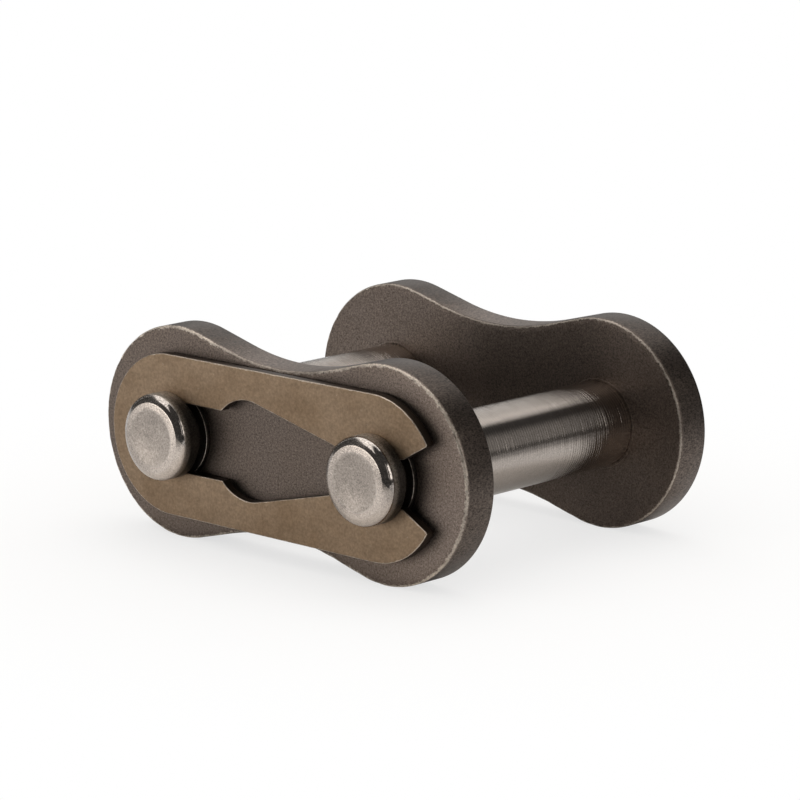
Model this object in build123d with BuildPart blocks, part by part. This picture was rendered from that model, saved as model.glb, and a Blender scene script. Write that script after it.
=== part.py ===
from build123d import *
import os
from math import acos, atan2, cos, degrees, hypot, radians, sin, sqrt, tan

# Connecting link of a 19.05 mm pitch roller chain.
# X runs along the chain, Y along the two pins and Z up. The loose plate and its clip face -Y.
# The link stands on the four round lobes of its plates, with the origin under its middle.

# Plates
pitch = 19.05                  # between the two pin axes
plate_height = 14.54           # over the round lobes
waist_height = 11.30           # across the narrow middle
flank_length = 2.98            # straight run between each lobe and the hollow of the waist
plate_thickness = 2.60
inner_gap = 18.50              # between the two plates
front_edge_break = 0.30        # worn-off corner on the face towards -Y
rear_edge_break = 0.16         # the same on the face towards +Y
hole_chamfer = 0.20            # on both faces of the loose plate

# Pins
pin_diameter = 5.90
head_projection = 2.65         # pin end in front of the loose plate
head_round = 0.54              # rounded rim of the pin end
groove_diameter = 4.60
shoulder_projection = 0.26     # full pin diameter in front of the loose plate, up to the groove
groove_edge_break = 0.05
rivet_projection = 1.10        # riveted end behind the pressed-on plate
rivet_upset = 0.22             # radial growth of the riveted end
rivet_edge_break = 0.30
rivet_dish_diameter = 3.20     # shallow hollow left by the riveting tool
rivet_dish_depth = 0.22

# Spring clip
clip_thickness = 0.70
clip_height = 11.04
slot_width = 4.76              # along the closed end
bulge_diameter = 6.82          # round widening that a pin end passes through
bulge_offset = 7.58            # from the closed end's pin to the middle of the widening
neck_width = 2.52              # between the legs, just inside the gripped pin
throat_width = 3.20            # between the lips, just outside the gripped pin
throat_length = 2.62           # from the gripped pin's axis to the start of the flare
flare_angle = 29.5             # of each lip to the middle line
corner_radius = 0.22           # where the slot widens and where the lips flare
lip_radius = 0.10              # edges of the neck and the throat that grip the pin
tip_radius = 0.14              # outer tips of the mouth
clip_edge_break = 0.06

# Clearances
slip_clearance = 0.04          # radial, loose plate on the pins
grip_clearance = 0.03          # radial, clip round the gripped pin's groove
clip_end_play = 0.04           # groove width over the clip's thickness
same = 1e-6                    # two sizes closer than this are one size

# Worked-out sizes and places
pin_radius = pin_diameter / 2
groove_radius = groove_diameter / 2
grip_radius = groove_radius + grip_clearance
lobe_radius = plate_height / 2
waist_half = waist_height / 2
flank_square = (pitch / 2) ** 2 + waist_half**2 - lobe_radius**2 - flank_length**2
waist_radius = flank_square / (plate_height - waist_height)
axis_height = lobe_radius
left_x = -pitch / 2
right_x = pitch / 2
bulge_x = left_x + bulge_offset
pin_length = head_projection + 2 * plate_thickness + inner_gap + rivet_projection
head_end_y = -pin_length / 2
front_plate_outer_y = head_end_y + head_projection
front_plate_inner_y = front_plate_outer_y + plate_thickness
rear_plate_inner_y = front_plate_inner_y + inner_gap
rear_plate_outer_y = rear_plate_inner_y + plate_thickness
rivet_end_y = rear_plate_outer_y + rivet_projection
groove_rear_y = front_plate_outer_y - shoulder_projection
groove_front_y = groove_rear_y - clip_thickness - clip_end_play
clip_rear_y = groove_rear_y - clip_end_play / 2


def facing_front(y):
    """A plane across the pins at the height of their axes, with its normal towards -Y."""
    return Plane(origin=(0, y, axis_height), x_dir=(1, 0, 0), z_dir=(0, -1, 0))


def waisted_plate(hole_radius):
    """The plate's outline: two round lobes, a hollow waist and the straight flanks that join them."""
    waist_centre = waist_half + waist_radius
    reach = hypot(pitch / 2, waist_centre)
    flank_angle = degrees(atan2(waist_centre, -pitch / 2) - acos((lobe_radius + waist_radius) / reach))
    with BuildSketch() as outline:
        with BuildLine():
            lobe = CenterArc((right_x, 0), lobe_radius, 0, flank_angle)
            waist = CenterArc((0, waist_centre), waist_radius, 180 + flank_angle, 90 - flank_angle)
            Line(lobe @ 1, waist @ 0)
            mirror(about=Plane.YZ)
            mirror(about=Plane.XZ)
        make_face()
        with Locations((left_x, 0), (right_x, 0)):
            Circle(hole_radius, mode=Mode.SUBTRACT)
    return outline.sketch


def nearest_corners(sketch, corners):
    """The sketch's vertices at the given corners and at their mirror images below the middle line."""
    found = ShapeList()
    for x, y in corners:
        for side in (1, -1):
            found.append(sketch.vertices().sort_by_distance((x, side * y))[0])
    return found


os.makedirs("parts", exist_ok=True)

# The rear plate is pressed on to the pins, and its holes fit them line to line.
with BuildPart() as rear_plate:
    with BuildSketch(facing_front(rear_plate_outer_y)):
        add(waisted_plate(pin_radius))
    extrude(amount=plate_thickness)
    chamfer(rear_plate.faces().sort_by(Axis.Y)[0].outer_wire().edges(), front_edge_break)
    chamfer(rear_plate.faces().sort_by(Axis.Y)[-1].outer_wire().edges(), rear_edge_break)
rear_plate.part.label = "rear_plate"
export_step(rear_plate.part, "parts/rear_plate.step")

# The front plate slips over the pins, so its holes are a little wider, with chamfers that find them.
with BuildPart() as front_plate:
    with BuildSketch(facing_front(front_plate_inner_y)):
        add(waisted_plate(pin_radius + slip_clearance))
    extrude(amount=plate_thickness)
    chamfer(front_plate.faces().sort_by(Axis.Y)[0].outer_wire().edges(), front_edge_break)
    chamfer(front_plate.faces().sort_by(Axis.Y)[-1].outer_wire().edges(), rear_edge_break)
    hole_rims = front_plate.edges().filter_by(GeomType.CIRCLE)
    chamfer(hole_rims.filter_by(lambda rim: abs(rim.radius - pin_radius - slip_clearance) < same), hole_chamfer)
front_plate.part.label = "front_plate"
export_step(front_plate.part, "parts/front_plate.step")

# Each pin is one turned piece: riveted end, ground barrel, clip groove and round-rimmed end.
for pin_name, pin_x in (("left_pin", left_x), ("right_pin", right_x)):
    with BuildPart() as pin:
        with BuildSketch(Plane(origin=(pin_x, 0, axis_height), x_dir=(1, 0, 0), z_dir=(0, 0, 1))):
            with BuildLine():
                Polyline(
                    (0, head_end_y),
                    (pin_radius, head_end_y),
                    (pin_radius, groove_front_y),
                    (groove_radius, groove_front_y),
                    (groove_radius, groove_rear_y),
                    (pin_radius, groove_rear_y),
                    (pin_radius, rear_plate_outer_y),
                    (pin_radius + rivet_upset, rear_plate_outer_y),
                    (pin_radius + rivet_upset, rivet_end_y),
                    (rivet_dish_diameter / 2, rivet_end_y),
                    (0, rivet_end_y - rivet_dish_depth),
                    close=True,
                )
            make_face()
        pin_axis = Axis((pin_x, 0, axis_height), (0, 1, 0))
        revolve(axis=pin_axis)
        rims = pin.edges().filter_by(GeomType.CIRCLE)
        fillet(rims.sort_by(Axis.Y)[0], head_round)
        rims = pin.edges().filter_by(GeomType.CIRCLE)
        rivet_rim = rims.filter_by(lambda rim: abs(rim.arc_center.Y - rivet_end_y) < same)
        chamfer(rivet_rim.sort_by(SortBy.RADIUS)[-1], rivet_edge_break)
        rims = pin.edges().filter_by(GeomType.CIRCLE)
        groove_rims = rims.filter_by(lambda rim: abs(rim.radius - pin_radius) < same)
        chamfer(groove_rims.filter_by_position(Axis.Y, groove_front_y, groove_rear_y), groove_edge_break)
    pin.part.label = pin_name
    export_step(pin.part, f"parts/{pin_name}.step")

# The clip is blanked from spring strip: a slot at its closed end, a round widening that a pin end passes
# through, legs that close in on the second pin's groove, and a flared mouth that snaps over it.
neck_x = right_x - sqrt(grip_radius**2 - (neck_width / 2) ** 2)
neck_reach = hypot(neck_x - bulge_x, neck_width / 2)
taper_start = atan2(neck_width / 2, neck_x - bulge_x) + acos(bulge_diameter / 2 / neck_reach)
taper_x = bulge_x + bulge_diameter / 2 * cos(taper_start)
taper_y = bulge_diameter / 2 * sin(taper_start)
step_x = bulge_x - sqrt((bulge_diameter / 2) ** 2 - (slot_width / 2) ** 2)
lip_x = right_x + sqrt(grip_radius**2 - (throat_width / 2) ** 2)
flare_x = right_x + throat_length
clip_end_x = right_x + clip_height / 2
flare_slope = tan(radians(flare_angle))
mouth_half = throat_width / 2 + (clip_end_x - flare_x) * flare_slope
tip_base = throat_width / 2 - throat_length * flare_slope
tip_reach = sqrt((1 + flare_slope**2) * (clip_height / 2) ** 2 - tip_base**2)
tip_x = right_x + (tip_reach - tip_base * flare_slope) / (1 + flare_slope**2)
tip_y = tip_base + (tip_x - right_x) * flare_slope

with BuildPart() as spring_clip:
    with BuildSketch(facing_front(clip_rear_y)) as blank:
        SlotCenterToCenter(pitch, clip_height)
        with Locations((left_x, 0)):
            Circle(slot_width / 2, mode=Mode.SUBTRACT)
        with Locations(((left_x + bulge_x) / 2, 0)):
            Rectangle(bulge_offset, slot_width, mode=Mode.SUBTRACT)
        with Locations((bulge_x, 0)):
            Circle(bulge_diameter / 2, mode=Mode.SUBTRACT)
        with BuildLine():
            Polyline(
                (bulge_x, 0),
                (taper_x, taper_y),
                (neck_x, neck_width / 2),
                (right_x, neck_width / 2),
                (right_x, -neck_width / 2),
                (neck_x, -neck_width / 2),
                (taper_x, -taper_y),
                close=True,
            )
        make_face(mode=Mode.SUBTRACT)
        with Locations((right_x, 0)):
            Circle(grip_radius, mode=Mode.SUBTRACT)
        with BuildLine():
            Polyline(
                (right_x, throat_width / 2),
                (flare_x, throat_width / 2),
                (clip_end_x, mouth_half),
                (clip_end_x, -mouth_half),
                (flare_x, -throat_width / 2),
                (right_x, -throat_width / 2),
                close=True,
            )
        make_face(mode=Mode.SUBTRACT)
        fillet(nearest_corners(blank, [(tip_x, tip_y)]), tip_radius)
        fillet(nearest_corners(blank, [(step_x, slot_width / 2), (flare_x, throat_width / 2)]), corner_radius)
        fillet(nearest_corners(blank, [(neck_x, neck_width / 2), (lip_x, throat_width / 2)]), lip_radius)
    extrude(amount=clip_thickness)
    chamfer(spring_clip.faces().sort_by(Axis.Y)[0].edges(), clip_edge_break)
    chamfer(spring_clip.faces().sort_by(Axis.Y)[-1].edges(), clip_edge_break)
spring_clip.part.label = "spring_clip"
export_step(spring_clip.part, "parts/spring_clip.step")
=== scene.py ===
"""Dresses a roller chain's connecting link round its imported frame.

Two blanked plates with worn edges, two turned pins and a spring clip stand for the plain CAD solids.
Plates and clip share one Geometry Nodes tree, which runs a rounded section round a blanked outline.
The pins share another, which turns a profile about its axis. The sidebar panel lists every step.
"""
import math

import bpy
from mathutils import Matrix, Vector


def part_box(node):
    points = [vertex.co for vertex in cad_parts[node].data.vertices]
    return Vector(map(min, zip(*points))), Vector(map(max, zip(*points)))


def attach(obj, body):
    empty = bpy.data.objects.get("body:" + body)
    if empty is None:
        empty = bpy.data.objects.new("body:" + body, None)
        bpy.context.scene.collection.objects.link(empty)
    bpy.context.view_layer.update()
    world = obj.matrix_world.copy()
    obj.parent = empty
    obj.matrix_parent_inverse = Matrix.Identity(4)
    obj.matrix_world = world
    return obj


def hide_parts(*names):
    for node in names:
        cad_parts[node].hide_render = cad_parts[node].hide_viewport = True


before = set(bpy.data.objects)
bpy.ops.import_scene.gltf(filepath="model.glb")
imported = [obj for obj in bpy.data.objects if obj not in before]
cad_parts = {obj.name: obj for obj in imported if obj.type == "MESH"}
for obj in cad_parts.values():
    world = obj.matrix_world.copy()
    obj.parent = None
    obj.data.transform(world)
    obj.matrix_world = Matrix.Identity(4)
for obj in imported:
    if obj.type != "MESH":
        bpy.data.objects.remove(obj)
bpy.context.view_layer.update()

bl_info = {
    "name": "Chain Connecting Link",
    "version": (1, 0, 0),
    "blender": (4, 5, 0),
    "location": "3D View > Sidebar > Chain Link",
    "description": "Builds the worn plates, turned pins and spring clip of a connecting link",
    "category": "Object",
}

MM = 0.001

FRONT_LOW, FRONT_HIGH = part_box("front_plate")
REAR_LOW, REAR_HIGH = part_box("rear_plate")
CLIP_LOW, CLIP_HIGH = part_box("spring_clip")
LEFT_LOW, LEFT_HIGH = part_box("left_pin")
RIGHT_LOW, RIGHT_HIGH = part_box("right_pin")
AXIS_HEIGHT = (FRONT_LOW.z + FRONT_HIGH.z) / 2
PIN_PLACES = {
    "left_pin": (LEFT_LOW.x + LEFT_HIGH.x) / 2,
    "right_pin": (RIGHT_LOW.x + RIGHT_HIGH.x) / 2,
}
PITCH = PIN_PLACES["right_pin"] - PIN_PLACES["left_pin"]
LOBE_RADIUS = (FRONT_HIGH.z - FRONT_LOW.z) / 2
CLIP_RADIUS = (CLIP_HIGH.z - CLIP_LOW.z) / 2

QUARTER = math.pi / 2
WELD = 1e-7               # points that lie closer than this become one
HOLE = 0.5                # point radius that marks the outline of a hole
SWEEP_RADIUS = 1.0 * MM   # circle that a pin's profile is swept along
FLOOR_HALF = 1.5          # metres
FILM_WIDTH = 36.0         # millimetres


def length(name, description, millimetres):
    """A size that the panel shows in the scene's own unit."""
    return bpy.props.FloatProperty(name=name, description=description, default=millimetres * MM,
                                   min=0.0, precision=5, unit="LENGTH")


def angle(name, description, degrees):
    """An angle that the panel shows in degrees."""
    return bpy.props.FloatProperty(name=name, description=description, default=math.radians(degrees),
                                   subtype="ANGLE")


def colour(name, description, default):
    """A linear colour."""
    return bpy.props.FloatVectorProperty(name=name, description=description, default=default,
                                         size=3, min=0.0, max=1.0, subtype="COLOR")


def share(name, description, default):
    """A number from nought to one."""
    return bpy.props.FloatProperty(name=name, description=description, default=default, min=0.0, max=1.0)


class LinkSizes(bpy.types.PropertyGroup):
    """Sizes of the link that its frame's boxes don't give."""

    waist_height: length("Waist height", "Height of a plate across its narrow middle", 11.30)
    flank_length: length("Flank length", "Straight run between a lobe and the hollow of the waist", 2.98)
    front_round: length("Front edge round", "Radius of a plate's edge on the face towards the clip", 0.20)
    rear_round: length("Rear edge round", "Radius of a plate's other edge", 0.14)
    hole_break: length("Hole edge break", "Rounding of the edges of a plate's holes", 0.03)
    plate_wear: length("Plate wear", "How deep knocks eat into a plate's front edge", 0.03)
    slip_clearance: length("Slip clearance", "Radial play of the loose plate on the pins", 0.04)
    pin_diameter: length("Pin diameter", "Diameter of the ground barrel", 5.90)
    head_round: length("Head round", "Radius of the pin end's rim", 0.52)
    head_crest: length("Head crest", "Radius at which the pin end stands highest", 1.95)
    head_brow: length("Head brow", "Radius at which the pin end turns down towards its rim", 2.42)
    head_fall: length("Head fall", "How far the end falls from its crest to its rim", 0.31)
    head_dish: length("Head dish", "How far the middle of the pin end lies below its crest", 0.13)
    groove_diameter: length("Groove diameter", "Diameter at the bottom of the clip's groove", 4.60)
    groove_break: length("Groove edge break", "Rounding of the groove's edge beside the plate", 0.03)
    shoulder: length("Shoulder", "Full pin diameter between the loose plate and the groove", 0.26)
    end_play: length("End play", "Groove width over the clip's thickness", 0.04)
    rivet_break: length("Rivet rim", "Rounding of the riveted end", 0.28)
    rivet_dish: length("Rivet dish", "Diameter of the hollow in the riveted end", 3.20)
    rivet_depth: length("Rivet depth", "Depth of that hollow", 0.22)
    grip_clearance: length("Grip clearance", "Radial play of the clip in the gripped pin's groove", 0.03)
    slot_width: length("Slot width", "Width of the clip's slot at its closed end", 4.76)
    bulge_diameter: length("Bulge diameter", "Round widening that a pin end passes through", 6.82)
    bulge_offset: length("Bulge offset", "From the closed end's pin to the widening", 7.58)
    neck_width: length("Neck width", "Between the legs, just inside the gripped pin", 2.52)
    throat_width: length("Throat width", "Between the lips, just outside the gripped pin", 3.20)
    throat_length: length("Throat length", "From the gripped pin's axis to the flare", 2.62)
    flare_angle: angle("Flare angle", "Angle of each lip to the middle line", 29.5)
    corner_radius: length("Corner radius", "Where the slot widens and where the lips flare", 0.22)
    lip_radius: length("Lip radius", "Edges that grip the pin", 0.10)
    tip_radius: length("Tip radius", "Outer tips of the mouth", 0.14)
    clip_round: length("Clip edge round", "Radius of the clip's edges", 0.06)
    clip_wear: length("Clip wear", "How deep knocks eat into the clip's front edge", 0.008)
    outline_step: length("Outline step", "Distance between the points of a plate's outline", 0.14)


class LinkFinish(bpy.types.PropertyGroup):
    """Colours and wear of the link's three steels."""

    plate: colour("Plate", "Tumbled and browned plate steel", (0.132, 0.1055, 0.0895))
    plate_tint: colour("Plate tint", "Brown clouds on the plates", (0.130, 0.1027, 0.0857))
    worn: colour("Worn edge", "Steel laid bare along the edges", (0.80, 0.71, 0.61))
    clip: colour("Clip", "Tempered spring strip", (0.235, 0.167, 0.1095))
    clip_tint: colour("Clip tint", "Darker temper clouds on the clip", (0.213, 0.147, 0.0922))
    clip_cut: colour("Clip cut", "Blackened cut edges of the clip", (0.050, 0.037, 0.028))
    pin: colour("Pin", "Ground and polished pin steel", (0.350, 0.310, 0.278))
    polish: colour("Polished rim", "Bright rim of the pin ends", (0.430, 0.385, 0.350))
    frost: colour("Frosted end", "Tumbled face of the pin ends", (0.375, 0.327, 0.288))
    film: colour("Film", "Brown film on a pin beside its groove", (0.620, 0.540, 0.460))
    wear: share("Edge wear", "How much of each edge is worn bare", 0.65)
    grain: share("Grain", "Depth of the tumbled grain", 0.5)


class LinkStage(bpy.types.PropertyGroup):
    """Camera, floor and light."""

    azimuth: angle("Azimuth", "Camera's turn to the right of the clip's side", 43.6432)
    elevation: angle("Elevation", "Camera's height above the horizon", 12.111)
    roll: angle("Roll", "Camera's turn about its line of sight", -0.2862)
    distance: length("Distance", "From the aimed point to the camera", 249.69)
    lens: bpy.props.FloatProperty(name="Lens", description="Focal length for a 36 mm wide film",
                                  default=166.777, unit="CAMERA")
    aim: bpy.props.FloatVectorProperty(name="Aim", description="Point that the camera looks at",
                                       default=(1.050 * MM, -0.598 * MM, 9.356 * MM), size=3,
                                       subtype="XYZ", unit="LENGTH")
    floor: colour("Floor", "Pale matt floor", (0.80, 0.79, 0.775))
    shadow: share("Floor shadow", "How much of the floor's own shading shows", 0.30)
    tent: colour("Tent", "Colour of the light from the tent", (1.0, 0.985, 0.965))


# ------- node trees


def forward(operation):
    """An operator's method with the value in the first place."""
    return lambda value, other: value.math(operation, value, other)


def reflected(operation):
    """An operator's method with the value in the second place."""
    return lambda value, other: value.math(operation, other, value)


class Value:
    """An output socket of a node tree. Arithmetic on one that holds a number adds the Math nodes."""

    def __init__(self, tree, socket):
        self.tree = tree
        self.socket = socket

    def math(self, operation, *operands):
        return self.tree.value("ShaderNodeMath", dict(enumerate(operands)), operation=operation)

    __add__, __radd__ = forward("ADD"), reflected("ADD")
    __sub__, __rsub__ = forward("SUBTRACT"), reflected("SUBTRACT")
    __mul__, __rmul__ = forward("MULTIPLY"), reflected("MULTIPLY")
    __truediv__, __rtruediv__ = forward("DIVIDE"), reflected("DIVIDE")
    __pow__, __rpow__ = forward("POWER"), reflected("POWER")
    most = forward("MAXIMUM")

    def __abs__(self):
        return self.math("ABSOLUTE", self)

    def sine(self):
        return self.math("SINE", self)

    def rise(self, low, high):
        """0 below low, 1 above high, and a smooth step between them."""
        return self.tree.value("ShaderNodeMapRange", {"Value": self, "From Min": low, "From Max": high},
                               "Result", interpolation_type="SMOOTHSTEP")

    def fall(self, low, high):
        """1 below low and 0 above high."""
        return 1 - self.rise(low, high)

    def band(self, low, full, fading, high):
        """1 from full to fading, and 0 below low and above high."""
        return self.rise(low, full) * self.fall(fading, high)


class Tree:
    """A shader or geometry node tree that is built from Python expressions."""

    def __init__(self, tree):
        self.tree = tree

    def node(self, kind, sockets=None, **settings):
        """Adds a node, sets it up, then sets or links its sockets. A list is linked one by one."""
        made = self.tree.nodes.new(kind)
        for name, setting in settings.items():
            if name == "items":
                while len(made.index_switch_items) < setting:
                    made.index_switch_items.new()
            else:
                setattr(made, name, setting)
        for name, given in (sockets or {}).items():
            for value in given if isinstance(given, list) else [given]:
                if isinstance(value, Value):
                    self.tree.links.new(value.socket, made.inputs[name])
                else:
                    made.inputs[name].default_value = value
        return made

    def value(self, kind, sockets=None, output=0, **settings):
        """Adds a node and hands out one of its outputs."""
        return Value(self, self.node(kind, sockets, **settings).outputs[output])

    def vector(self, *parts):
        """A vector of x, y and z."""
        return self.value("ShaderNodeCombineXYZ", dict(enumerate(parts)))

    def split(self, vector):
        """The x, y and z of a vector."""
        return [Value(self, part) for part in self.node("ShaderNodeSeparateXYZ", {0: vector}).outputs]

    def scaled(self, vector, factor):
        """A vector or a colour times a number."""
        return self.value("ShaderNodeVectorMath", {0: vector, "Scale": factor}, operation="SCALE")


class Shader(Tree):
    """A material's tree, with the textures that the link's steels share."""

    def __init__(self, name):
        self.material = bpy.data.materials.new(name)
        self.material.use_nodes = True
        super().__init__(self.material.node_tree)
        self.tree.nodes.clear()
        self.spot = self.value("ShaderNodeTexCoord", output="Object")

    def noise(self, per_mm, detail=2.0, roughness=0.5, spot=None):
        """Noise from 0 to 1, with per_mm patches to the millimetre."""
        return self.value("ShaderNodeTexNoise", {"Vector": spot or self.spot, "Scale": per_mm / MM,
                                                 "Detail": detail, "Roughness": roughness})

    def stretched(self, x, y, z):
        """Object coordinates scaled by x, y and z, for a pattern that is drawn out one way."""
        return self.value("ShaderNodeMapping", {"Vector": self.spot, "Scale": (x, y, z)})

    def attribute(self, name, output="Fac"):
        return self.value("ShaderNodeAttribute", output=output, attribute_name=name)

    def mix(self, factor, first, second):
        """One colour fading into another. Each is a plain colour or a value."""
        sockets = {0: factor}
        for index, shade in ((6, first), (7, second)):
            sockets[index] = shade if isinstance(shade, Value) else (*shade, 1.0)
        return self.value("ShaderNodeMix", sockets, output=2, data_type="RGBA")

    def metal(self, shade, roughness, relief, depth):
        """Ends the tree in bare metal, with a relief from 0 to 1 that is depth metres deep."""
        normal = self.value("ShaderNodeBump", {"Height": relief, "Distance": depth, "Strength": 1.0})
        surface = self.value("ShaderNodeBsdfPrincipled", {
            "Base Color": shade, "Metallic": 1.0, "Roughness": roughness, "Normal": normal})
        self.node("ShaderNodeOutputMaterial", {"Surface": surface})
        return self.material


def edge_wear(shader, edge, width, strength):
    """Where an edge is rubbed bare: a thin broken line along the crest of its round.

    edge is the distance from the crest over the surface, and width that of a typical line, in millimetres.
    """
    wander = (shader.noise(1.6) - 0.5) * (width * 1.2) + (shader.noise(6.0) - 0.5) * (width * 1.6)
    reach = width * (0.40 + shader.noise(3.2, 3.0) * 1.1)
    line = (abs(edge + wander) / reach).fall(0.20, 1.0)
    stretches = shader.noise(0.42, 2.0).rise(0.62 - 0.5 * strength, 0.80 - 0.3 * strength)
    crumbs = shader.noise(7.5, 2.0, 0.6).rise(0.40, 0.56)
    return line * (stretches * 0.40 + 0.60) * (crumbs * 0.35 + 0.65)


# ------- materials


def open_face_painted_light(x, y, z):
    """Painted light: how much paler the loose plate's outer face is drawn where the clip leaves it open, most
    beside the clip's mouth.
    """
    across, up = (abs(x) - PITCH / 2 / MM).most(0.0), z - AXIS_HEIGHT / MM
    from_pins = (across * across + up * up) ** 0.5
    clip_edge = CLIP_RADIUS / MM
    outside = from_pins.rise(clip_edge - 0.6, clip_edge + 0.3)
    mouth_end = x.rise(6.0, 14.0)
    mouth = from_pins.rise(3.2, 4.4) * mouth_end
    return (outside * 0.15 * (1 - mouth_end) + mouth * 0.75) * y.fall(-11.0, -10.5)


def plate_steel(finish):
    """Tumbled plate: dark browned steel with a speckled grain and bare metal along its edges."""
    shader = Shader("tumbled_plate_steel")
    front, rear = (shader.attribute(name) / MM for name in ("front_edge", "rear_edge"))
    rim = front.rise(0.12, 0.30)
    drawn_out = shader.stretched(1.0, 0.5, 1.0)
    grain, fine = (shader.noise(size, 1.0, 0.6) * (1 - rim) + shader.noise(size, 1.0, 0.6, drawn_out) * rim
                   for size in (6.5, 13.0))
    clouds = shader.noise(0.22, 3.0, 0.55).rise(0.36, 0.68)
    patches = shader.noise(0.75, 3.0, 0.6)

    # Places on the link in millimetres. The plate that the pins are fixed in lies at positive y.
    x, y, z = (part / MM for part in shader.split(shader.spot))
    waist = abs(x).fall(2.0, 7.0)
    pinned = y.rise(-1.0, 1.0)
    # Painted shade: the fixed plate's faces are drawn darker across the middle and to the right, where the
    # loose plate keeps light off.
    rear_plate_painted_shade = pinned * (1 - rim) * x.band(-6.0, 1.0, 7.0, 13.0) * z.rise(1.0, 6.0) * 0.40
    # Painted light on the loose plate's open face, beside the clip.
    painted_face_light = open_face_painted_light(x, y, z) * (1 - rim) * 0.8

    front_line = edge_wear(shader, front, 0.17 - pinned * 0.05, finish.wear)
    spared = (1 - waist * 0.6) * (1 - pinned * (0.22 + x.rise(2.0, 8.0) * 0.20))
    bare = (front_line * spared).most(edge_wear(shader, rear, 0.05, finish.wear) * 0.4)
    coarse = 1.50 - rim * 0.2 - pinned * (1 - rim) * 0.35
    speckle = (grain - 0.5) * coarse + (fine - 0.5) * (1.1 + rim * 0.5)
    # Painted light and shade on the rims: darker on the lobes, lighter at the waist and low down, a little
    # darker at the top.
    rim_painted_light = waist * 0.66 - 0.38 + z.fall(3.0, 10.0) * 0.24 - z.rise(9.0, 13.0) * 0.07
    tone = (1 + speckle + (patches - 0.5) * 0.22) * (1 + painted_face_light + rim * rim_painted_light) * (1 - rear_plate_painted_shade)
    browned = shader.scaled(shader.mix(clouds, finish.plate, finish.plate_tint), tone)
    return shader.metal(
        shade=shader.mix(bare, browned, finish.worn),
        roughness=0.47 + patches * 0.06 - rim * 0.08 + bare * 0.17,
        relief=grain * 0.7 + fine * 0.3, depth=finish.grain * 0.008 * MM)


def clip_steel(finish):
    """Tempered strip: bronze brown, nearly matt, with soft clouds and blackened cut edges."""
    shader = Shader("tempered_clip_steel")
    front = shader.attribute("front_edge") / MM
    grain = shader.noise(5.5, 2.0, 0.65)
    rolled = shader.noise(3.2, 3.0, 0.55, shader.stretched(0.22, 1.0, 1.0))
    clouds = shader.noise(0.30, 3.0, 0.6).rise(0.40, 0.74)
    stains = shader.noise(1.1, 4.0, 0.62).rise(0.55, 0.78)
    rim = front.rise(0.02, 0.08)
    bare = edge_wear(shader, front, 0.055, finish.wear + 0.1)
    tone = 1 + (grain - 0.5) * 0.95 + (rolled - 0.5) * 0.30 - stains * 0.12
    strip = shader.scaled(shader.mix(clouds, finish.clip, finish.clip_tint), tone)
    cut = shader.mix(rim, strip, finish.clip_cut)
    return shader.metal(
        shade=shader.mix(bare * 0.7, cut, finish.worn),
        roughness=0.47 + clouds * 0.06 - bare * 0.10,
        relief=grain * 0.6 + rolled * 0.4, depth=finish.grain * 0.006 * MM)


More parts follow.
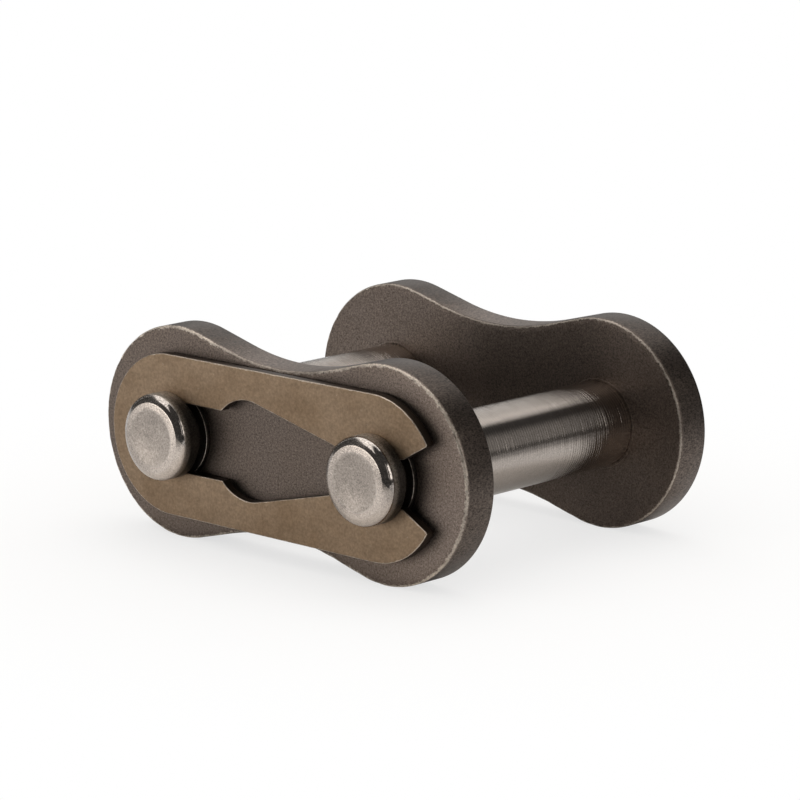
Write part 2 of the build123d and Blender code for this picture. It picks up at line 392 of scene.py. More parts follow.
def pin_steel(finish, sizes):
    """Pin: ground barrel with fine rings, polished rim and tumbled, frosted end face."""
    shader = Shader("turned_pin_steel")

    # Places on a pin in millimetres: along it from its front end, and from its axis.
    across, down, along = (part / MM for part in shader.split(shader.attribute("turned", "Vector")))
    from_axis = (across * across + down * down) ** 0.5
    arm = from_axis.most(0.1)
    radius, crest, brow = sizes.pin_diameter / 2 / MM, sizes.head_crest / MM, sizes.head_brow / MM
    rim = (sizes.head_fall + sizes.head_round) / MM
    shoulder_edge = (FRONT_LOW.y - sizes.shoulder - LEFT_LOW.y) / MM
    barrel_end = (REAR_HIGH.y - LEFT_LOW.y) / MM
    in_plate = 3.0, 3.2
    left_pin = shader.split(shader.spot)[0].fall(-1 * MM, 1 * MM)

    # The end face is frosted out to its brow, and further down on its lower side.
    head = along.fall(rim, rim + 0.2)
    ragged = (shader.noise(6.0, 3.0) - 0.5) * 0.16
    low_side = (down / arm).rise(-0.22, 0.10)
    frosted = (from_axis + ragged - low_side * 0.50).fall(brow - 0.04, brow + 0.08) * head
    ridge = from_axis.rise(crest - 0.15, crest + 0.10) * frosted
    low_right = ((across + down * 0.7) / arm).rise(-0.1, 1.0)
    dulled = ((across + down) / arm).fall(-1.2, -0.1) * head * (1 - frosted)

    # Beside the clip's groove a brown film starts, and the shoulder's edge gets a painted highlight.
    film_start = 0.62 - left_pin * 0.17 + ragged * 0.5
    film = (along - film_start).rise(-0.07, 0.07) * along.fall(*in_plate)
    groove = from_axis.fall(radius - 0.08, radius - 0.03) * along.band(1.0, 1.1, *in_plate)
    broken = shader.noise(0.8).rise(0.30, 0.55)
    edge = abs(along - shoulder_edge).fall(0.005, 0.032) * (1 - groove) * broken
    # Painted shade: the film is drawn darker on its right side and where it starts by the head.
    right_side_painted_shade = (along - film_start).rise(-0.05, 0.6) * across.rise(0.0, 2.0) * 0.85 * (1 - edge)
    film_painted_shade = (1 - film * right_side_painted_shade) * (1 - film * along.fall(0.4, 1.4) * 0.45)

    # The barrel has regular grinding rings, uneven scores across them, and painted light that makes it paler
    # by the rear plate.
    barrel = along.rise(*in_plate) * along.fall(barrel_end - 0.1, barrel_end)
    ring_pitch = 0.23
    wave = (along * (2 * math.pi / ring_pitch)).sine()
    uneven = shader.noise(3.0, 2.0, 0.6, shader.stretched(0.05, 1.0, 0.05))
    rings = wave * (uneven * 0.6 + 0.4) * down.fall(-1.2, 0.6)
    scratches = shader.noise(40.0, 0.0, 0.5, shader.stretched(0.002, 1.0, 0.002))
    scores = scratches * (0.27 + down.fall(-0.7, 0.4) * 0.38) + wave * (uneven * 0.5 + 0.5) * 0.14
    painted_light_by_plate = barrel * along.rise(barrel_end - 6.8, barrel_end - 4.2)

    grain = shader.noise(6.0, 1.0, 0.6)
    fine = shader.noise(12.0, 1.0, 0.6)
    dents = shader.noise(5.0, 2.0, 0.6)
    patches = shader.noise(0.6, 3.0, 0.6)
    # Painted highlight: the frosted face is drawn paler on its crest, most on its lower right side.
    frost_tone = (0.92 + (grain - 0.5) * 0.75 + (fine - 0.5) * 0.75 + (patches - 0.5) * 0.6
                  + ridge * (0.18 + low_right * 0.42))
    frost = shader.scaled(tuple(finish.frost), frost_tone)
    speckle = ((grain - 0.5) * 0.8 + (fine - 0.5) * 1.5) * (1 - barrel * 0.7)
    ground_tone = ((1 + barrel * rings * 0.20 + speckle + (patches - 0.5) * 0.12) * film_painted_shade
                   * (1 - groove * 0.2) * (1 + edge * 1.2) * (1 + painted_light_by_plate * 0.7))
    polished = shader.mix(head, finish.pin, finish.polish)
    ground = shader.scaled(shader.mix(film * (1 - edge), polished, finish.film), ground_tone)
    smooth_relief = (1 - frosted) * (1 - barrel) * dents * 0.35 + barrel * scores * 2.2
    return shader.metal(
        shade=shader.mix(frosted, ground, frost),
        roughness=0.09 + frosted * 0.27 - ridge * 0.10 + barrel * 0.05 + film * 0.40 + dulled * 0.14,
        relief=frosted * (grain * 0.7 + fine * 0.3) + smooth_relief, depth=finish.grain * 0.012 * MM)


# ------- outlines


class Straight:
    """A straight edge of an outline, walked with the metal on its left. Points are complex numbers."""

    def __init__(self, start, end):
        self.start = start
        self.end = end
        self.heading = (end - start) / abs(end - start)

    def shifted(self, left):
        return Straight(self.start + 1j * left * self.heading, self.end + 1j * left * self.heading)

    def nearest(self, point):
        along = ((point - self.start) * self.heading.conjugate()).real
        return self.start + along * self.heading

    def mirrored(self):
        return Straight(self.end.conjugate(), self.start.conjugate())

    def heading_at(self, point):
        return self.heading

    def cut(self, start=None, end=None):
        return Straight(self.start if start is None else start, self.end if end is None else end)

    def points(self, step):
        count = max(1, round(abs(self.end - self.start) / step))
        return [self.start + (self.end - self.start) * index / count for index in range(count)]


class Bend:
    """A round edge of an outline, from one angle to another. It turns left where the angles grow."""

    def __init__(self, centre, radius, start_angle, end_angle):
        self.centre = centre
        self.radius = radius
        self.start_angle = start_angle
        self.end_angle = end_angle
        self.turn = math.copysign(1.0, end_angle - start_angle)
        self.start = centre + radius * unit(start_angle)
        self.end = centre + radius * unit(end_angle)

    def shifted(self, left):
        return Bend(self.centre, self.radius - self.turn * left, self.start_angle, self.end_angle)

    def nearest(self, point):
        return self.centre + self.radius * (point - self.centre) / abs(point - self.centre)

    def mirrored(self):
        return Bend(self.centre.conjugate(), self.radius, -self.end_angle, -self.start_angle)

    def heading_at(self, point):
        return 1j * self.turn * (point - self.centre) / abs(point - self.centre)

    def cut(self, start=None, end=None):
        first = self.start_angle if start is None else self.angle_of(start, self.start_angle)
        last = self.end_angle if end is None else self.angle_of(end, self.end_angle)
        return Bend(self.centre, self.radius, first, last)

    def angle_of(self, point, near):
        """The point's angle, in the turn that lies nearest to another angle."""
        plain = angle_of(point - self.centre)
        return plain + 2 * math.pi * round((near - plain) / (2 * math.pi))

    def points(self, step):
        sweep = self.end_angle - self.start_angle
        count = max(4, round(abs(sweep) * self.radius / step))
        return [self.centre + self.radius * unit(self.start_angle + sweep * index / count)
                for index in range(count)]


def unit(direction):
    return complex(math.cos(direction), math.sin(direction))


def angle_of(point):
    return math.atan2(point.imag, point.real)


def meeting(first, second, near):
    """Where a straight edge meets another edge, nearest to a given point."""
    line, other = (first, second) if isinstance(first, Straight) else (second, first)
    if isinstance(other, Straight):
        gap = other.start - line.start
        side = 1j * other.heading
        along = (gap * side.conjugate()).real / (line.heading * side.conjugate()).real
        return line.start + along * line.heading
    foot = line.nearest(other.centre)
    half = math.sqrt(other.radius ** 2 - abs(foot - other.centre) ** 2)
    return min((foot + half * line.heading, foot - half * line.heading), key=lambda place: abs(place - near))


def rounded(edges):
    """The closed outline of (edge, radius) pairs, with each edge's end rounded by its radius."""
    walk = [edge for edge, radius in edges]
    corners = []
    for (edge, radius), after in zip(edges, walk[1:] + walk[:1]):
        if not radius:
            corners.append(None)
            continue
        corner = edge.end
        leaving, entering = edge.heading_at(corner), after.heading_at(corner)
        side = math.copysign(radius, (leaving.conjugate() * entering).imag)
        centre = meeting(edge.shifted(side), after.shifted(side), corner)
        corners.append((centre, side, edge.nearest(centre), after.nearest(centre)))
    outline = []
    for index, edge in enumerate(walk):
        before, here = corners[index - 1], corners[index]
        outline.append(edge.cut(start=before[3] if before else None, end=here[2] if here else None))
        if here:
            centre, side, leave, join = here
            first, last = angle_of(leave - centre), angle_of(join - centre)
            turn = math.copysign(1.0, side)
            last += 2 * math.pi * turn * ((last - first) * turn < 0)
            outline.append(Bend(centre, abs(side), first, last))
    return outline


def ring(centre, radius):
    """A hole: walked clockwise, so that the metal is on its left."""
    return [Bend(centre, radius, 2 * math.pi, 0.0)]


def plate_outline(sizes):
    """Two round lobes, a hollow waist above and below, and the straight flanks that join them."""
    half_pitch, waist_half = PITCH / 2, sizes.waist_height / 2
    flank_square = half_pitch ** 2 + waist_half ** 2 - LOBE_RADIUS ** 2 - sizes.flank_length ** 2
    waist_radius = flank_square / (2 * (LOBE_RADIUS - waist_half))
    waist_centre = 1j * (waist_half + waist_radius)
    reach = math.hypot(half_pitch, waist_centre.imag)
    flank = math.atan2(waist_centre.imag, -half_pitch) - math.acos((LOBE_RADIUS + waist_radius) / reach)
    bends = [
        Bend(half_pitch, LOBE_RADIUS, -flank, flank),
        Bend(waist_centre, waist_radius, math.pi + flank, 2 * math.pi - flank),
        Bend(-half_pitch, LOBE_RADIUS, math.pi - flank, math.pi + flank),
        Bend(-waist_centre, waist_radius, flank, math.pi - flank),
    ]
    edges = []
    for bend, after in zip(bends, bends[1:] + bends[:1]):
        edges += [bend, Straight(bend.end, after.start)]
    return edges


def clip_outline(sizes):
    """The spring clip's one outline: stadium outside, slot, bulge, taper, grip and flared mouth inside."""
    left, right = complex(-PITCH / 2), complex(PITCH / 2)
    top = 1j * CLIP_RADIUS
    bulge = left + sizes.bulge_offset
    grip_radius = sizes.groove_diameter / 2 + sizes.grip_clearance
    bulge_radius = sizes.bulge_diameter / 2
    slot, neck, throat = sizes.slot_width / 2, sizes.neck_width / 2, sizes.throat_width / 2
    neck_corner = right + complex(-math.sqrt(grip_radius ** 2 - neck ** 2), neck)
    from_bulge = neck_corner - bulge
    taper_angle = angle_of(from_bulge) + math.acos(bulge_radius / abs(from_bulge))
    taper_start = bulge + bulge_radius * unit(taper_angle)
    step_corner = bulge + complex(-math.sqrt(bulge_radius ** 2 - slot ** 2), slot)
    lip_corner = right + complex(math.sqrt(grip_radius ** 2 - throat ** 2), throat)
    flare_corner = right + complex(sizes.throat_length, throat)
    flare = Straight(flare_corner, flare_corner + unit(sizes.flare_angle) * CLIP_RADIUS)
    tip = meeting(flare, Bend(right, CLIP_RADIUS, 0.0, QUARTER), flare.end)
    tip_angle, neck_angle, lip_angle = (angle_of(point - right) for point in (tip, neck_corner, lip_corner))
    step_angle = angle_of(step_corner - bulge)
    corner, lip = sizes.corner_radius, sizes.lip_radius

    # The upper half, each edge with the radius that rounds its end. The lower half mirrors it.
    inner = [
        (Straight(left + 1j * slot, step_corner), corner),
        (Bend(bulge, bulge_radius, step_angle, taper_angle), 0),
        (Straight(taper_start, neck_corner), lip),
        (Bend(right, grip_radius, neck_angle, lip_angle), lip),
        (Straight(lip_corner, flare_corner), corner),
        (Straight(flare_corner, tip), sizes.tip_radius),
    ]
    outer = [(Bend(right, CLIP_RADIUS, tip_angle, QUARTER), 0), (Straight(right + top, left + top), 0)]
    edges, radii = zip(*inner, *outer)
    lower = [(edge.mirrored(), radius) for edge, radius in zip(edges[::-1], (0, *radii[:-1])[::-1])]
    return rounded([*outer, (Bend(left, CLIP_RADIUS, QUARTER, 3 * QUARTER), 0), *lower,
                    (Bend(left, slot, -QUARTER, -3 * QUARTER), 0), *inner])


# ------- geometry trees


def new_geometry_tree(name, **inputs):
    """A Geometry Nodes tree with one geometry in and out, a place, a material and inputs of each kind."""
    group = bpy.data.node_groups.new(name, "GeometryNodeTree")
    group.interface.new_socket("Geometry", in_out="INPUT", socket_type="NodeSocketGeometry")
    for kind, labels in {**inputs, "Vector": ("Place",), "Material": ("Material",)}.items():
        for label in labels:
            group.interface.new_socket(label, in_out="INPUT", socket_type="NodeSocket" + kind)
    group.interface.new_socket("Geometry", in_out="OUTPUT", socket_type="NodeSocketGeometry")
    tree = Tree(group)
    outputs = tree.node("NodeGroupInput").outputs
    return tree, {socket.name: Value(tree, socket) for socket in outputs}


def end_geometry_tree(tree, given, mesh, turn):
    """Turns the mesh about x, moves it to its place, and gives it its material and smooth faces."""
    laid = tree.value("GeometryNodeTransform", {0: mesh, "Translation": given["Place"],
                                                "Rotation": (turn, 0.0, 0.0)})
    real = tree.value("GeometryNodeRealizeInstances", {0: laid})
    smooth = tree.value("GeometryNodeSetShadeSmooth", {0: real})
    dressed = tree.value("GeometryNodeSetMaterial", {0: smooth, "Material": given["Material"]})
    tree.node("NodeGroupOutput", {0: dressed})
    return tree.tree


def stored(tree, geometry, name, value, kind="FLOAT"):
    """Keeps a value on each point under a name that the materials read."""
    return tree.value("GeometryNodeStoreNamedAttribute",
                      {"Geometry": geometry, "Name": name, "Value": value}, data_type=kind, domain="POINT")


def edge_distances(tree, geometry, front, rear):
    """Keeps each point's distance from the crests of the front and the rear round."""
    return stored(tree, stored(tree, geometry, "front_edge", front), "rear_edge", rear)


def section_curve(tree, corners, radii, steps):
    """A polyline through the corners, each rounded by its radius."""
    index = tree.value("GeometryNodeInputIndex")
    count = len(corners)

    def chosen(kind, choices):
        """One of the choices for each point of the line."""
        return tree.value("GeometryNodeIndexSwitch", {0: index, **dict(enumerate(choices, start=1))},
                          data_type=kind, items=count)

    line = tree.value("GeometryNodeMeshLine", {"Count": count})
    place = chosen("VECTOR", [tree.vector(x, y) for x, y in corners])
    placed = tree.value("GeometryNodeSetPosition", {0: line, "Position": place})
    bent = tree.value("GeometryNodeMeshToCurve", {0: placed})
    return tree.value("GeometryNodeFilletCurve",
                      {0: bent, "Count": steps, "Radius": chosen("FLOAT", radii)}, mode="POLY")


def swept(tree, path, section):
    """The skin that a section leaves along a path, with its faces turned out."""
    skin = tree.value("GeometryNodeCurveToMesh", {0: path, 1: section})
    return tree.value("GeometryNodeFlipFaces", {0: skin})


def blanked_tree():
    """Runs a section with two rounded corners round each outline and closes both faces.

    Outlines of holes are marked by a point radius of HOLE, and have a section of their own.
    """
    tree, given = new_geometry_tree(
        "Blanked Strip", Int=("Round Steps",),
        Float=("Thickness", "Front Round", "Rear Round", "Hole Break", "Face Reach", "Wear Depth"))
    thickness, front, rear, hole_break, reach = (given[name] for name in (
        "Thickness", "Front Round", "Rear Round", "Hole Break", "Face Reach"))

    outline = tree.value("GeometryNodeSetCurveNormal", {0: given["Geometry"]}, mode="Z_UP")
    radius = tree.value("GeometryNodeInputRadius")
    is_hole = tree.value("FunctionNodeCompare", {0: radius, 1: (1 + HOLE) / 2}, operation="LESS_THAN")
    parted = tree.node("GeometryNodeSeparateGeometry", {0: outline, 1: is_hole}, domain="CURVE").outputs
    holes, rims = (tree.value("GeometryNodeSetCurveRadius", {0: Value(tree, loops), "Radius": 1.0})
                   for loops in parted)

    # The section: along the rear face to its corner, up the rim, and back along the front face.
    # Curve to Mesh turns a section's Y downwards, so the section is drawn downwards.
    inward, top_y = 0 - reach, 0 - thickness
    corners = [(inward, 0.0), (0.0, 0.0), (0.0, top_y), (inward, top_y)]
    rim_section = section_curve(tree, corners, [0.0, rear, front, 0.0], given["Round Steps"])
    hole_section = section_curve(tree, corners, [0.0, hole_break, hole_break, 0.0], 2)

    # Distances over the section from the crest of each round, positive towards the rim.
    eighth = QUARTER / 2
    rear_crest = reach - rear + rear * eighth
    front_crest = reach - rear + rear * QUARTER + thickness - rear - front + front * eighth
    whole = front_crest + front * eighth + reach - front
    walked = tree.value("GeometryNodeSplineParameter", output="Length")
    inner_front, inner_rear = front_crest - whole, 0 - rear_crest
    rim_section = edge_distances(tree, rim_section, front_crest - walked, walked - rear_crest)
    hole_section = edge_distances(tree, hole_section, inner_front, inner_rear)
    walls = [swept(tree, rims, rim_section), swept(tree, holes, hole_section)]

    normal = tree.value("GeometryNodeInputNormal")
    back_in = tree.scaled(normal, inward)
    inner = tree.value("GeometryNodeSetPosition", {0: outline, "Offset": back_in})
    filled = tree.value("GeometryNodeFillCurve", {0: inner}, mode="TRIANGLES")
    raised = tree.vector(0.0, 0.0, thickness)
    lifted = tree.value("GeometryNodeTransform", {0: filled, "Translation": raised})
    turned = tree.value("GeometryNodeFlipFaces", {0: filled})
    top = edge_distances(tree, lifted, inner_front, whole)
    low = edge_distances(tree, turned, front_crest, inner_rear)
    joined = tree.value("GeometryNodeJoinGeometry", {0: [top, low, *walls]})
    closed = tree.value("GeometryNodeMergeByDistance", {0: joined, "Distance": WELD})

    # Knocks and rubs eat a little into the crest of the front round.
    edge = tree.value("GeometryNodeInputNamedAttribute", {"Name": "front_edge"}, data_type="FLOAT")
    near = (abs(edge) / front).fall(0.3, 1.0)
    knocks = tree.value("ShaderNodeTexNoise", {"Scale": 1.1 / MM, "Detail": 3.0}).rise(0.35, 0.75)
    rubbed = tree.scaled(normal, 0 - near * knocks * given["Wear Depth"])
    worn = tree.value("GeometryNodeSetPosition", {0: closed, "Offset": rubbed})
    return end_geometry_tree(tree, given, worn, QUARTER)


def turned_tree():
    """Turns a profile of (distance from axis, distance along it) about the axis."""
    tree, given = new_geometry_tree("Turned Bar", Int=("Steps Round", "Round Steps"))
    corner_radius = tree.value("GeometryNodeInputRadius")
    profile = tree.value("GeometryNodeFilletCurve", {
        0: given["Geometry"], "Count": given["Round Steps"], "Radius": corner_radius}, mode="POLY")
    circle = tree.value("GeometryNodeCurvePrimitiveCircle",
                        {"Resolution": given["Steps Round"], "Radius": SWEEP_RADIUS})
    path = tree.value("GeometryNodeSetCurveNormal", {0: circle}, mode="Z_UP")
    closed = tree.value("GeometryNodeMergeByDistance", {0: swept(tree, path, profile), "Distance": WELD})
    place = tree.value("GeometryNodeInputPosition")
    noted = stored(tree, closed, "turned", place, "FLOAT_VECTOR")
    return end_geometry_tree(tree, given, noted, -QUARTER)


# ------- pieces


def added(name, data):
    """A new object in the scene."""
    made = bpy.data.objects.new(name, data)
    bpy.context.scene.collection.objects.link(made)
    return made


def poly_curve(name, loops, closed):
    """A curve object of straight-edged splines. Each point is (x, y, radius)."""
    data = bpy.data.curves.new(name, "CURVE")
    data.dimensions = "3D"
    for loop in loops:
        spline = data.splines.new("POLY")
        spline.points.add(len(loop) - 1)
        spline.use_cyclic_u = closed
        for point, (x, y, radius) in zip(spline.points, loop):
            point.co = (x, y, 0.0, 1.0)
            point.radius = radius
    return added(name, data)


def outline_curve(name, rim, holes, step):
    """The curve of a rim and its holes, each a list of edges. The holes' points have the radius HOLE."""
    marked = [(rim, 1.0)] + [(hole, HOLE) for hole in holes]
    return poly_curve(name, [[(point.real, point.imag, mark) for edge in loop for point in edge.points(step)]
                             for loop, mark in marked], closed=True)


def plain_mesh(thing):
    """An object's shape with its modifiers applied."""
    bpy.context.view_layer.update()
    graph = bpy.context.evaluated_depsgraph_get()
    return bpy.data.meshes.new_from_object(thing.evaluated_get(graph))


def made_piece(name, carrier, group, inputs, body, node):
    """Runs the tree on its curve, keeps the result as a plain mesh, and sets it in the node's stead.

    Its normals follow the larger faces, which keeps flat faces flat beside their rounds.
    """
    modifier = carrier.modifiers.new("shape", "NODES")
    modifier.node_group = group
    for item in group.interface.items_tree:
        if item.in_out == "INPUT" and item.name in inputs:
            modifier[item.identifier] = inputs[item.name]
    shape = plain_mesh(carrier)
    bpy.data.objects.remove(carrier)
    piece = added(name, shape)
    modifier = piece.modifiers.new("normals", "WEIGHTED_NORMAL")
    modifier.mode = "FACE_AREA"
    modifier.weight = 100
    weighed = plain_mesh(piece)
    piece.modifiers.clear()
    piece.data = weighed
    bpy.data.meshes.remove(shape)
    weighed.name = name
    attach(piece, body)
    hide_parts(node)


def pin_profile(sizes, low, high):
    """Corners of a pin's half section as (from the axis, along it, rounding), head face first."""
    radius, groove, crest = sizes.pin_diameter / 2, sizes.groove_diameter / 2, sizes.head_crest
    rivet_radius = (high.x - low.x) / 2
    groove_rear = FRONT_LOW.y - sizes.shoulder - low.y
    groove_front = groove_rear - (CLIP_HIGH.y - CLIP_LOW.y) - sizes.end_play
    rivet_start = REAR_HIGH.y - low.y
    end = high.y - low.y
    dish = sizes.rivet_dish / 2
    hollow_end = end - sizes.rivet_depth
    rivet_floor = dish * 0.5
    dish_centre, dish_centre_round, crest_round = crest * 0.4, 6 * MM, 1.2 * MM
    brow_fall, brow_round = sizes.head_fall * 0.18, 0.35 * MM
    sharp, rivet_dish_round, rivet_floor_round = 0.01 * MM, 0.25 * MM, 0.6 * MM
    return [
        (0.0, sizes.head_dish, 0.0),
        (dish_centre, sizes.head_dish, dish_centre_round),
        (crest, 0.0, crest_round),
        (sizes.head_brow, brow_fall, brow_round),
        (radius, sizes.head_fall, sizes.head_round),
        (radius, groove_front, sharp),
        (groove, groove_front, sharp),
        (groove, groove_rear, sharp),
        (radius, groove_rear, sizes.groove_break),
        (radius, rivet_start, 0.0),
        (rivet_radius, rivet_start, 0.0),
        (rivet_radius, end, sizes.rivet_break),
        (dish, end, rivet_dish_round),
        (rivet_floor, hollow_end, rivet_floor_round),
        (0.0, hollow_end, 0.0),
    ]


class CHAINLINK_OT_plates(bpy.types.Operator):
    """Blank both plates, round their edges and brown their steel"""

    bl_idname = "chainlink.plates"
    bl_label = "Plates"

    def execute(self, context):
        sizes, finish = context.scene.link_sizes, context.scene.link_finish
        group = bpy.data.node_groups.get("Blanked Strip") or blanked_tree()
        steel = plate_steel(finish)
        for node, body, low, high, play in (
                ("front_plate", "cover_plate", FRONT_LOW, FRONT_HIGH, sizes.slip_clearance),
                ("rear_plate", "pin_link", REAR_LOW, REAR_HIGH, 0.0)):
            holes = [ring(complex(place), sizes.pin_diameter / 2 + play) for place in (-PITCH / 2, PITCH / 2)]
            carrier = outline_curve(node + "_outline", plate_outline(sizes), holes, sizes.outline_step)
            made_piece("worn_" + node, carrier, group, {
                "Thickness": high.y - low.y, "Front Round": sizes.front_round,
                "Rear Round": sizes.rear_round, "Hole Break": sizes.hole_break, "Face Reach": 0.5 * MM,
                "Round Steps": 6, "Wear Depth": sizes.plate_wear, "Place": (0.0, high.y, AXIS_HEIGHT),
                "Material": steel}, body, node)
        return {"FINISHED"}


class CHAINLINK_OT_clip(bpy.types.Operator):
    """Blank the spring clip from tempered strip"""

    bl_idname = "chainlink.clip"
    bl_label = "Spring Clip"

    def execute(self, context):
        sizes, finish = context.scene.link_sizes, context.scene.link_finish
        group = bpy.data.node_groups.get("Blanked Strip") or blanked_tree()
        carrier = outline_curve("clip_outline", clip_outline(sizes), [], sizes.outline_step / 2)
        made_piece("tempered_spring_clip", carrier, group, {
            "Thickness": CLIP_HIGH.y - CLIP_LOW.y, "Front Round": sizes.clip_round,
            "Rear Round": sizes.clip_round, "Face Reach": 0.095 * MM, "Round Steps": 4,
            "Wear Depth": sizes.clip_wear, "Place": (0.0, CLIP_HIGH.y, AXIS_HEIGHT),
            "Material": clip_steel(finish)}, "clip", "spring_clip")
        return {"FINISHED"}


class CHAINLINK_OT_pins(bpy.types.Operator):
    """Turn both pins, with their grooves, polished rims and riveted ends"""

    bl_idname = "chainlink.pins"
    bl_label = "Pins"

    def execute(self, context):
        sizes, finish = context.scene.link_sizes, context.scene.link_finish
        group = bpy.data.node_groups.get("Turned Bar") or turned_tree()
        steel = pin_steel(finish, sizes)
        for node, place in PIN_PLACES.items():
            low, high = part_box(node)
            profile = [(from_axis - SWEEP_RADIUS, -along, rounding)
                       for from_axis, along, rounding in pin_profile(sizes, low, high)]
            carrier = poly_curve(node + "_profile", [profile], closed=False)
            made_piece("turned_" + node, carrier, group, {
                "Steps Round": 160, "Round Steps": 12, "Place": (place, low.y, AXIS_HEIGHT),
                "Material": steel}, "pin_link", node)
        return {"FINISHED"}


# ------- stage


def add_camera(stage):
    """The camera: aimed at a point, turned and raised about it, and rolled a little."""
    turn, rise = stage.azimuth, stage.elevation
    back = Vector((math.sin(turn) * math.cos(rise), -math.cos(turn) * math.cos(rise), math.sin(rise)))
    right = Vector((math.cos(turn), math.sin(turn), 0.0))
    up = back.cross(right)
    rolled = right * math.cos(stage.roll) + up * math.sin(stage.roll)
    data = bpy.data.cameras.new("camera")
    data.lens = stage.lens
    data.sensor_width = FILM_WIDTH
    data.clip_start = 10 * MM
    data.clip_end = 10.0
    camera = added("camera", data)
    axes = Matrix((rolled, back.cross(rolled), back)).transposed().to_4x4()
    camera.matrix_world = Matrix.Translation(Vector(stage.aim) + back * stage.distance) @ axes
    bpy.context.scene.camera = camera


def ray(tree, name):
    """1 for rays of one kind and 0 for all others."""
    return tree.value("ShaderNodeLightPath", output="Is " + name + " Ray")


def add_floor(stage):
    """A pale matt floor that the camera and the metal see as white, with part of its own shading left in."""
    mesh = bpy.data.meshes.new("floor")
    corners = [(x * FLOOR_HALF, y * FLOOR_HALF, 0) for x, y in ((-1, -1), (1, -1), (1, 1), (-1, 1))]
    mesh.from_pydata(corners, [], [(0, 1, 2, 3)])
    floor = added("floor", mesh)
    shader = Shader("pale_floor")
    distance = shader.value("ShaderNodeVectorMath", {0: shader.spot}, "Value", operation="LENGTH")
    x, y = shader.split(shader.spot)[:2]
    seen = ray(shader, "Camera").most(ray(shader, "Transmission"))
    glossy = ray(shader, "Glossy")

    # How bright the metal sees the floor: pale in front, but dark there to the right, and dimmer far
    # away to the rear right.
    beyond = y.fall(-0.048, -0.036) * x.rise(-0.026, -0.012)
    mirrored = ((0.85 + y.fall(-0.055, -0.018) * 0.30) * (1 - beyond * 0.90)
                * (1 - x.rise(0.008, 0.022) * y.fall(-0.012, -0.004) * 0.35)
                * (1 + x.rise(0.006, 0.014) * y.rise(-0.002, 0.008) * 0.22)
                * (1 - (x + y).rise(0.04, 0.13) * 0.55))
    own_shading = distance.fall(0.016, 0.05) * stage.shadow
    cover = seen * (1 - own_shading) + glossy * distance.rise(0.018, 0.028)
    strength = 1 - glossy + glossy * mirrored
    matt = shader.value("ShaderNodeBsdfDiffuse", {"Color": (*stage.floor, 1.0)})
    white = shader.value("ShaderNodeEmission", {"Color": strength, "Strength": 1.0})
    both = shader.value("ShaderNodeMixShader", {0: cover, 1: matt, 2: white})
    shader.node("ShaderNodeOutputMaterial", {"Surface": both})
    mesh.materials.append(shader.material)


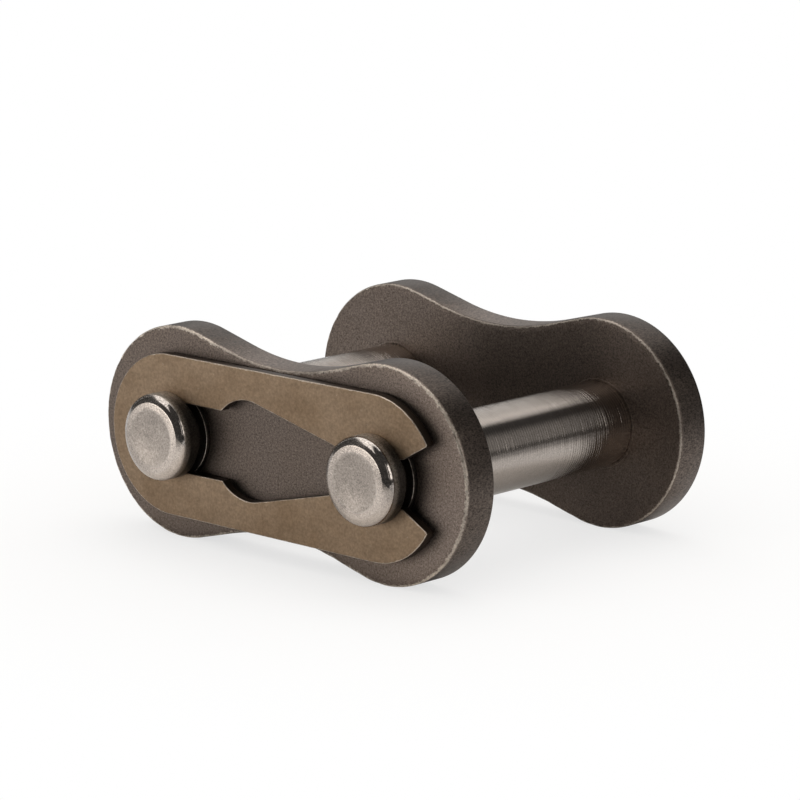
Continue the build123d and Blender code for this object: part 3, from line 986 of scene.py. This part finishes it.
def add_world(stage):
    """A light tent: a soft box overhead to the rear left, a grey wall behind, and small lights."""
    world = bpy.data.worlds.new("tent")
    world.use_nodes = True
    bpy.context.scene.world = world
    tree = Tree(world.node_tree)
    tree.tree.nodes.clear()
    x, y, z = tree.split(tree.value("ShaderNodeTexCoord", output="Generated"))
    high = z.most(0.05)
    right, back = x / high, y / high
    behind = y.rise(0.20, 0.45)

    # The barrels lie along y. The edges of the lights that they mirror to the rear are written in this
    # ratio, which is the same all along a barrel. It holds the direction towards the camera.
    camera_x, camera_z = 0.675, 0.21
    around = (x + camera_x) / (high + camera_z)

    lower_edge = ((right - back * 0.10).fall(-0.12, 0.08) * (1 - behind)
                  + around.fall(0.57, 0.98) * behind)
    brightness = 1.8 - back.rise(-0.05, 0.15) * 0.9 + back.rise(0.6, 0.9) * right.rise(-0.32, -0.08)
    soft_box = ((x + y * 0.25).rise(-0.74, -0.64) * lower_edge * (back + right * 0.3).rise(-1.9, -1.4)
                * back.fall(1.9, 2.4) * brightness)
    back_left = ((x + y * 1.25).rise(0.0, 0.15) * x.fall(-0.45, -0.15) * z.band(0.10, 0.16, 0.45, 0.60)
                 * (0.80 + z.rise(0.24, 0.36) * 0.20))
    wall = (y.rise(0.25, 0.45) * around.band(0.98, 1.75, 3.6, 4.2) * z.rise(0.065, 0.09)
            * (x - y).rise(-1.5, 0.6) * (0.43 + z.rise(0.15, 0.40) * 0.05))
    side = y / x.most(0.05)
    strip = ((side.band(-0.22, -0.14, 0.34, 0.42) * 2.0 + side.band(-0.72, -0.62, -0.50, -0.40) * 0.7)
             * z.band(0.10, 0.17, 0.60, 0.68))
    front = (x * -0.52 + y * -0.854).rise(0.89, 0.97) * z.fall(0.16, 0.30) * 3.4
    rest = 0.07 + z.fall(0.15, 0.25) * y.rise(0.25, 0.45) * 0.08
    shown = soft_box.most(back_left).most(wall).most(strip).most(front).most(rest)

    # Matt surfaces get plain even light, and the camera sees white.
    diffuse = ray(tree, "Diffuse")
    level = shown * (1 - diffuse) + diffuse * 1.05
    seen = ray(tree, "Camera").most(ray(tree, "Transmission"))
    tent, white = (tree.value("ShaderNodeBackground", {"Color": glow, "Strength": 1.0})
                   for glow in (tree.scaled(tuple(stage.tent), level), (1.0, 1.0, 1.0, 1.0)))
    both = tree.value("ShaderNodeMixShader", {0: seen, 1: tent, 2: white})
    tree.node("ShaderNodeOutputWorld", {"Surface": both})


def add_lamp(name, place, width, depth, power):
    """A soft lamp that faces straight down."""
    data = bpy.data.lights.new(name, "AREA")
    data.shape = "RECTANGLE"
    data.size = width
    data.size_y = depth
    data.energy = power
    added(name, data).location = place


class CHAINLINK_OT_stage(bpy.types.Operator):
    """Set up the camera, the pale floor, the tent and the soft lamp"""

    bl_idname = "chainlink.stage"
    bl_label = "Stage"

    def execute(self, context):
        stage = context.scene.link_stage
        context.scene.view_settings.view_transform = "Standard"
        add_camera(stage)
        add_floor(stage)
        add_world(stage)
        add_lamp("soft_box", place=(-0.13, 0.12, 0.34), width=0.46, depth=0.22, power=0.32)
        return {"FINISHED"}


class CHAINLINK_PT_sidebar(bpy.types.Panel):
    """Lists the link's steps and the values they use"""

    bl_idname = "CHAINLINK_PT_sidebar"
    bl_label = "Chain Link"
    bl_space_type = "VIEW_3D"
    bl_region_type = "UI"
    bl_category = "Chain Link"

    def draw(self, context):
        for operator in OPERATORS:
            self.layout.operator(operator.bl_idname)
        for group in GROUPS:
            values = getattr(context.scene, group)
            box = self.layout.box()
            for name in values.bl_rna.properties.keys():
                if name not in ("rna_type", "name"):
                    box.prop(values, name)


OPERATORS = (CHAINLINK_OT_stage, CHAINLINK_OT_plates, CHAINLINK_OT_pins, CHAINLINK_OT_clip)
GROUPS = {"link_sizes": LinkSizes, "link_finish": LinkFinish, "link_stage": LinkStage}
CLASSES = (*GROUPS.values(), *OPERATORS, CHAINLINK_PT_sidebar)


def register():
    for each in CLASSES:
        bpy.utils.register_class(each)
    for name, group in GROUPS.items():
        setattr(bpy.types.Scene, name, bpy.props.PointerProperty(type=group))


def unregister():
    for name in GROUPS:
        delattr(bpy.types.Scene, name)
    for each in reversed(CLASSES):
        bpy.utils.unregister_class(each)


def main():
    register()
    bpy.ops.chainlink.stage()
    bpy.ops.chainlink.plates()
    bpy.ops.chainlink.pins()
    bpy.ops.chainlink.clip()


if __name__ == "__main__":
    main()
